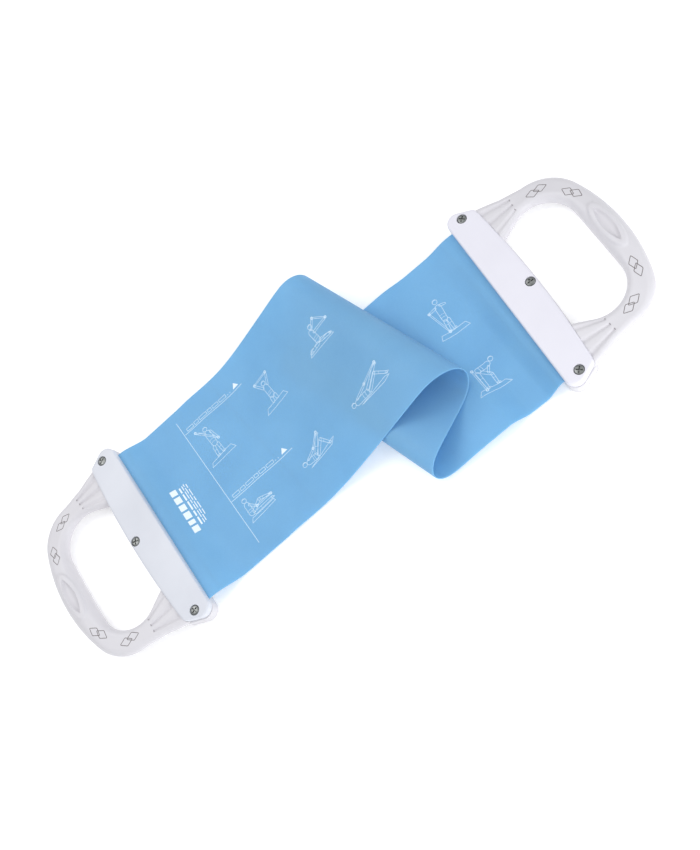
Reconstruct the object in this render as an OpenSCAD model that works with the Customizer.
// Flat exercise band with a D-loop handle clamped on each end, lying folded on the floor.
// Units are millimetres, +Z is up, z = 0 is the floor. The sheet leaves clamp A towards +X.

/* [Sheet] */
// width of the sheet
sheet_w = 150; // [120:1:180]
// thickness of the sheet
sheet_t = 0.8; // [0.5:0.1:1.5]
// free gap left each side of a crease
crease_gap = 0.4; // [0.2:0.05:0.8]
// height of the middle of the sheet at mouth A
mouth_z = 9.05; // [8:0.05:14]
// distance of a mouth crease from the clamp face
mouth_out = 1; // [0.6:0.1:3]
// length of sheet held inside a clamp
held_l = 16; // [10:1:17]

/* [Creases of sheet] */
// distance from mouth A to the crease where the top layer leaves the floor
rise_at = 106.59; // [90:0.01:130]
// distance to the first crease of the upper roll
upper1_at = 213.31; // [190:0.01:230]
// distance to its second crease
upper2_at = 229.39; // [210:0.01:240]
// distance to its third crease
upper3_at = 239.15; // [220:0.01:250]
// distance to its fourth crease
upper4_at = 249.95; // [230:0.01:260]
// distance to its fifth crease
upper5_at = 260.2; // [240:0.01:270]
// distance to the first crease of the lower roll
lower1_at = 318.01; // [290:0.01:330]
// distance to its second crease
lower2_at = 325.2; // [300:0.01:340]
// distance to its third crease
lower3_at = 331.89; // [310:0.01:345]
// distance to its fourth crease
lower4_at = 339.06; // [320:0.01:350]
// free length of the sheet from mouth to mouth
end_at = 470.71; // [420:0.01:520]
// sideways lean of the rise crease, as a slope
rise_lean = -0.1857; // [-0.4:0.0001:0.4]
// sideways lean of the upper roll
upper_lean = -0.2727; // [-0.4:0.0001:0.4]
// sideways lean of the lower roll
lower_lean = -0.2957; // [-0.4:0.0001:0.4]
// lean of the crease at mouth B
end_lean = 0.0581; // [-0.1:0.0001:0.1]
// bend at mouth A, degrees
mouth_bend = -4.082; // [-10:0.001:0]
// bend at the rise crease
rise_bend = 23.669; // [10:0.001:30]
// bend at each of the five upper creases
upper_bend = -41.984; // [-45:0.001:-30]
// bend at each of the four lower creases
lower_bend = 48.302; // [30:0.001:50]
// bend at mouth B
end_bend = -3.145; // [-10:0.001:0]
// place of the cut across the top panel
top_cut_at = 52; // [30:1:80]
// place of the cut across the bottom panel
bottom_cut_at = 405; // [370:1:440]

/* [Clamp] */
// half distance between the end screws
screw_y = 77; // [70:1:90]
// end overhang past the screws
plate_over = 8; // [5:0.5:12]
// depth of the plate from mouth to the middle of its loop side
plate_d = 27.8; // [20:0.1:35]
// height of the plate above the middle of the sheet
plate_top = 6.5; // [5:0.1:8]
// underside of the bar below the middle of the sheet
bar_under = 9.05; // [6:0.05:10]
// the bar stands out past the plate by this much
bar_rim = 1; // [0:0.1:3]
// distance of the end screws from the clamp face
screw_in = 12.1; // [8:0.1:16]
// further distance of the middle screw
screw_mid = 11; // [6:0.1:13]
// screw head diameter
head_d = 8; // [5:0.1:10]
// screw head height
head_h = 2.4; // [1:0.1:4]
// screw shank diameter
shank_d = 3.4; // [2:0.1:5]
// screw shank length
shank_l = 10; // [6:0.5:12]

/* [Loop] */
// half distance between the centres of the inner corner arcs
inner_y = 28; // [20:0.5:35]
// their distance from the end-screw line
inner_x = 41; // [35:0.5:50]
// inner corner radius
inner_r = 25.5; // [18:0.5:32]
// half distance between the centres of the outer corner arcs
outer_y = 36; // [25:0.5:45]
// their distance from the end-screw line
outer_x = 47.5; // [40:0.5:55]
// outer corner radius
outer_r = 34.6; // [25:0.1:45]
// outside of the grip from the end-screw line
grip_x = 88.2; // [80:0.1:100]
// crown of the grip above the middle plane
crown_top = 8.4; // [6:0.1:10]
// crown radius
crown_r = 420; // [200:10:800]
// half thickness of the legs
leg_t = 3.8; // [2.5:0.1:6]
// slope of the legs' inner sides, degrees
leg_slope = 27; // [10:1:40]
// height of the oval pad on the grip
pad_top = 9.9; // [8:0.1:12]
// pad length
pad_l = 45; // [30:1:60]
// pad width
pad_w = 15; // [8:0.5:18]

/* [Placement] */
// shift that puts the middle of the object over the origin, along X
shift_x = -150.093; // [-250:0.001:0]
// the same, along Y
shift_y = 26.913; // [-100:0.001:100]

/* [Hidden] */
$fn = 48;
sheet_colour = "#81b6e2";
handle_colour = "#e5e0e6";
plate_colour = "#e6e4ee";
screw_colour = "#8d8f94";

// creases from mouth A to mouth B: distance, lean, bend
creases = [
  [0, 0, mouth_bend],
  [rise_at, rise_lean, rise_bend],
  for (at = [upper1_at, upper2_at, upper3_at, upper4_at, upper5_at]) [at, upper_lean, upper_bend],
  for (at = [lower1_at, lower2_at, lower3_at, lower4_at]) [at, lower_lean, lower_bend],
  [end_at, end_lean, end_bend]
];
// cuts straight across the sheet: distance, lean
top_cut = [top_cut_at, 0];
bottom_cut = [bottom_cut_at, 0];

// plate outline and step
mouth_corner_r = 8;
loop_corner_r = 4;
loop_corner_in = [7.9, 9.6]; // its centre from the loop side and from the plate end
corner_mid = 26;             // angle at which the two corner arcs meet
bow_r = 762;                 // bow of the loop side
bow_end_in = 10.2;           // end of the bow from the plate end
bow_steps = 8;
step_h = 0.8;                // step round the plate's top
step_in = 1.2;

// screws: heights of the undersides of head and shank, and the cross in the head
head_z = plate_top - head_h;
shank_z = head_z - shank_l;
cross = [4.8, 1, 3];
cross_depth = 1.4;
overlap = 0.02;
cut_h = 20; // height of cutters that run out through the top

// loop, with x from the end-screw line
// outer side of a leg: x, y
leg_side = [[6, 80], [13, 79], [17, 77.6], [24, 75.3], [31, 73]];
// centre and radius of the grip's outer arc, tangent to both outer corner arcs
grip_k = grip_x - outer_r;
grip_c = (outer_y*outer_y + outer_x*outer_x - grip_k*grip_k) / (2*(outer_x - grip_k));
grip_r = grip_x - grip_c;
tangent_a = atan2(outer_x - grip_c, outer_y);
// stepped rounding of the loop's edges: inset, height
tiers = [[0, leg_t + 0.6], [1, 5.9], [2.4, 7.3], [4.6, crown_top + 0.4]];
tier_drop = 0.6; // each tier reaches this much further down than up
slab_x = 4;
slab_l = 110;
slab_half_w = 95;
slab_steps = 20;
pad_x = screw_in + 76.9; // from the clamp face
slot_w = 5;
slot_depth = 2.5;
slot_shorter = 9;
flute_d = 2.6;
flute_l = 24;

// ---- creased sheet: x along the sheet, y across it, z out of its face ----
module bend_at(crease) {
  lean_a = atan(crease[1]);
  translate([crease[0], 0, 0]) rotate([0, 0, -lean_a]) rotate([0, -crease[2], 0])
    rotate([0, 0, lean_a]) translate([-crease[0], 0, 0]) children();
}
// puts children on facet n, which follows the first n creases
module facet(n, i = 0) {
  if (n <= i) children();
  else bend_at(creases[i]) facet(n, i + 1) children();
}
module in_frame() { translate([shift_x, shift_y, mouth_z]) children(); }

// crease gap measured along the sheet
function gap_along(lean) = crease_gap * sqrt(1 + lean*lean);
// corner of a panel: x0 on the centre line, y on one edge
function edge_point(x0, lean, y) = [x0 + lean*y, y];
// part of facet n between two creases or cuts
module panel(n, start, end) {
  x0 = start[0] + gap_along(start[1]);
  x1 = end[0] - gap_along(end[1]);
  y = sheet_w/2;
  color(sheet_colour) in_frame() facet(n)
    translate([0, 0, -sheet_t/2]) linear_extrude(sheet_t)
      polygon([edge_point(x0, start[1], y), edge_point(x0, start[1], -y),
               edge_point(x1, end[1], -y), edge_point(x1, end[1], y)]);
}
module whole_panel(n) { panel(n, creases[n-1], creases[n]); }

// ---- one handle: x from the clamp face towards the grip, y along the bar, z from the sheet ----
module at_a() { in_frame() translate([-mouth_out, 0, 0]) rotate([0, 0, 180]) children(); }
module at_b() {
  in_frame() facet(len(creases)) translate([end_at, 0, 0]) rotate([0, 0, -atan(end_lean)])
    translate([mouth_out, 0, 0]) children();
}
module at_screws() {
  for (y = [-screw_y, screw_y]) translate([screw_in, y, 0]) children();
  translate([screw_in + screw_mid, 0, 0]) children();
}

// points of an arc, angles from +y towards +x
function arc(centre, r, from, to, steps) = [for (i = [0:steps])
  let (a = from + (to - from)*i/steps) centre + r*[sin(a), cos(a)]];
// the points mirrored to the other side of y = 0, in reverse order
function flip(points) = [for (i = [len(points)-1:-1:0]) [points[i][0], -points[i][1]]];
// a half outline that ends on y = 0, made whole
function both_sides(half) = concat(half, flip([for (i = [0:len(half)-2]) half[i]]));

// outline of the clamp plate, grown by grow at the ends and on the loop side
module plate_outline(grow) {
  end_y = screw_y + plate_over + grow;
  side_x = plate_d + grow;
  polygon(both_sides(concat(
    arc([mouth_corner_r, end_y - mouth_corner_r], mouth_corner_r, -90, corner_mid, 10),
    arc([side_x, end_y] - loop_corner_in, loop_corner_r, corner_mid, 84, 6),
    [for (k = [bow_steps:-1:0]) let (y = (end_y - bow_end_in)*k/bow_steps)
      [side_x - y*y/(2*bow_r), y]])));
}
module plate() {
  difference() {
    union() {
      translate([0, 0, sheet_t/2]) linear_extrude(plate_top - step_h - sheet_t/2)
        plate_outline(0);
      translate([step_h, 0, sheet_t/2]) linear_extrude(plate_top - sheet_t/2)
        plate_outline(-step_in);
    }
    at_screws() {
      translate([0, 0, -1]) cylinder(d = shank_d + 0.8, h = cut_h);
      translate([0, 0, head_z]) cylinder(d = head_d + 0.4, h = 10);
    }
  }
}

// half of the loop's outside, drawn in by inset: leg, corner and half the grip
function outer_half(inset) = concat(
  [for (p = leg_side) p - [0, inset]],
  arc([outer_x, outer_y], outer_r - inset, -4, tangent_a, 18),
  arc([grip_c, 0], grip_r - inset, tangent_a + 1.6, 90, 14));
// half of the opening, grown by inset: grip side to leg side
function inner_half(inset) = let (r = inner_r + inset, leg_x = leg_side[0][0]) concat(
  [[inner_x + r, 0]],
  arc([inner_x, inner_y], r, 90, -leg_slope, 26),
  [[leg_x, inner_y + r*cos(leg_slope)
    - (inner_x - r*sin(leg_slope) - leg_x)*tan(leg_slope)]]);
module tier(inset, height) {
  inner = inner_half(inset);
  translate([screw_in, 0, -height - tier_drop]) linear_extrude(2*height + tier_drop)
    polygon(concat(both_sides(outer_half(inset)), flip(inner),
                   [for (i = [1:len(inner)-1]) inner[i]]));
}
function crown_at(y, height) = max(leg_t, height - y*y/(2*crown_r));
module loop() {
  ys = [for (k = [-slab_steps:slab_steps]) slab_half_w*k/slab_steps];
  intersection() {
    union() { for (t = tiers) tier(t[0], t[1]); }
    // crowned slab, thickest along y = 0
    translate([screw_in + slab_x, 0, 0]) rotate([90, 0, 90]) linear_extrude(slab_l)
      polygon(concat([for (y = ys) [y, crown_at(y, crown_top)]],
                     [for (y = ys) [-y, -crown_at(y, bar_under)]]));
  }
}
module oval(l, w) {
  square([w, l - w], center = true);
  for (side = [-1, 1]) translate([0, side*(l - w)/2]) circle(d = w);
}
// three grooves fanned over the top of each leg
module flutes() {
  for (side = [0, 1]) mirror([0, side, 0]) for (k = [0:2])
    translate([screw_in + 14, 55 + 8*k, leg_t + 0.5]) rotate([0, 0, 10 - 9*k])
      rotate([0, 90, 0]) cylinder(d = flute_d, h = flute_l);
}
module handle() {
  difference() {
    union() {
      loop();
      // bar under the plate
      translate([0, 0, -bar_under]) linear_extrude(bar_under + sheet_t/2)
        plate_outline(bar_rim);
      translate([pad_x, 0, 0]) linear_extrude(pad_top) oval(pad_l, pad_w);
    }
    // seat of the plate, cut into the tops of the legs
    translate([0.3, 0, sheet_t/2]) linear_extrude(cut_h) plate_outline(0);
    // pocket for the sheet
    translate([-1, -sheet_w/2 - 0.3, -sheet_t/2])
      cube([held_l + 1.8, sheet_w + 0.6, sheet_t + 1]);
    at_screws() translate([0, 0, shank_z - 0.6]) cylinder(d = shank_d + 0.2, h = cut_h);
    // slot in the oval pad
    translate([pad_x, 0, pad_top - slot_depth]) linear_extrude(2*slot_depth)
      oval(pad_l - slot_shorter, slot_w);
    flutes();
  }
}
module screw() {
  difference() {
    union() {
      translate([0, 0, head_z]) cylinder(d = head_d, h = head_h);
      translate([0, 0, shank_z]) cylinder(d = shank_d, h = shank_l + overlap);
    }
    for (a = [0, 90]) rotate([0, 0, a])
      translate([-cross[0]/2, -cross[1]/2, plate_top - cross_depth]) cube(cross);
  }
}
module held_sheet() {
  start = crease_gap - mouth_out;
  translate([start, -sheet_w/2, -sheet_t/2]) cube([held_l - start, sheet_w, sheet_t]);
}

// ---- nodes ----
module handle_a() { color(handle_colour) at_a() handle(); }
module clamp_plate_a() { color(plate_colour) at_a() plate(); }
module screws_a() { color(screw_colour) at_a() at_screws() screw(); }
module sheet_end_a() { color(sheet_colour) at_a() held_sheet(); }
module sheet_top_outer() { panel(1, creases[0], top_cut); }
module sheet_top_inner() { panel(1, top_cut, creases[1]); }
module sheet_ramp() { whole_panel(2); }
module upper_roll_1() { whole_panel(3); }
module upper_roll_2() { whole_panel(4); }
module upper_roll_3() { whole_panel(5); }
module upper_roll_4() { whole_panel(6); }
module sheet_middle() { whole_panel(7); }
module lower_roll_1() { whole_panel(8); }
module lower_roll_2() { whole_panel(9); }
module lower_roll_3() { whole_panel(10); }
module sheet_bottom_inner() { panel(11, creases[10], bottom_cut); }
module sheet_bottom_outer() { panel(11, bottom_cut, creases[11]); }
module sheet_end_b() { color(sheet_colour) at_b() held_sheet(); }
module handle_b() { color(handle_colour) at_b() handle(); }
module clamp_plate_b() { color(plate_colour) at_b() plate(); }
module screws_b() { color(screw_colour) at_b() at_screws() screw(); }

handle_a();
clamp_plate_a();
screws_a();
sheet_end_a();
sheet_top_outer();
sheet_top_inner();
sheet_ramp();
upper_roll_1();
upper_roll_2();
upper_roll_3();
upper_roll_4();
sheet_middle();
lower_roll_1();
lower_roll_2();
lower_roll_3();
sheet_bottom_inner();
sheet_bottom_outer();
sheet_end_b();
handle_b();
clamp_plate_b();
screws_b();
